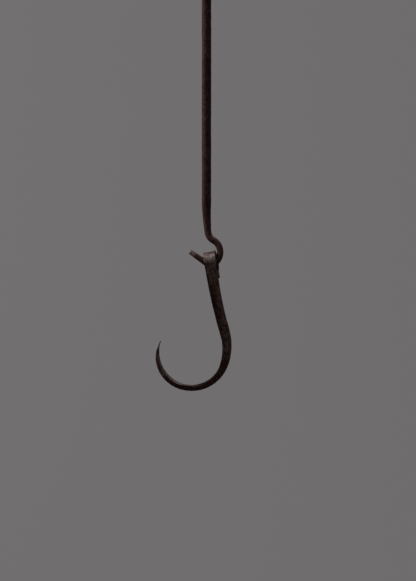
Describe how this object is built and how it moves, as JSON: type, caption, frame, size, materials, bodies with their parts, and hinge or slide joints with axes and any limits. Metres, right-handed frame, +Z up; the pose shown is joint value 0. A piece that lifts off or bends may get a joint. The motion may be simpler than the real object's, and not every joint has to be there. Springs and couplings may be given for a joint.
{
  "type": "forged hanging hook",
  "caption": "Hand-forged iron hanging hook: a straight round rod with a rolled eye at the top and a cranked open crook below, carrying a loose J hook with a folded eye and a needle point.",
  "frame": {"origin": "centre of the hanging eye at the rod's top", "axes": "+Z up along the straight shaft, +X towards the crook's riser, +Y back towards the wall, along the hanging eye's bore"},
  "size_m": [0.0673, 0.0169, 0.3824],
  "materials": {
    "rod_iron": "dark forge scale, matt",
    "hook_iron": "dark forge scale, worn bright on the fold"
  },
  "bodies": {
    "rod": {"hanger_rod": "rod_iron"},
    "hook": {"hook": "hook_iron"}
  },
  "joints": [
    {"name": "hook_swing", "type": "hinge", "parent": "rod", "child": "hook", "pos_m": [0.00422, 0, -0.2587], "axis": [0.9848, 0, 0.1736], "range_deg": [-25, 25]}
  ]
}
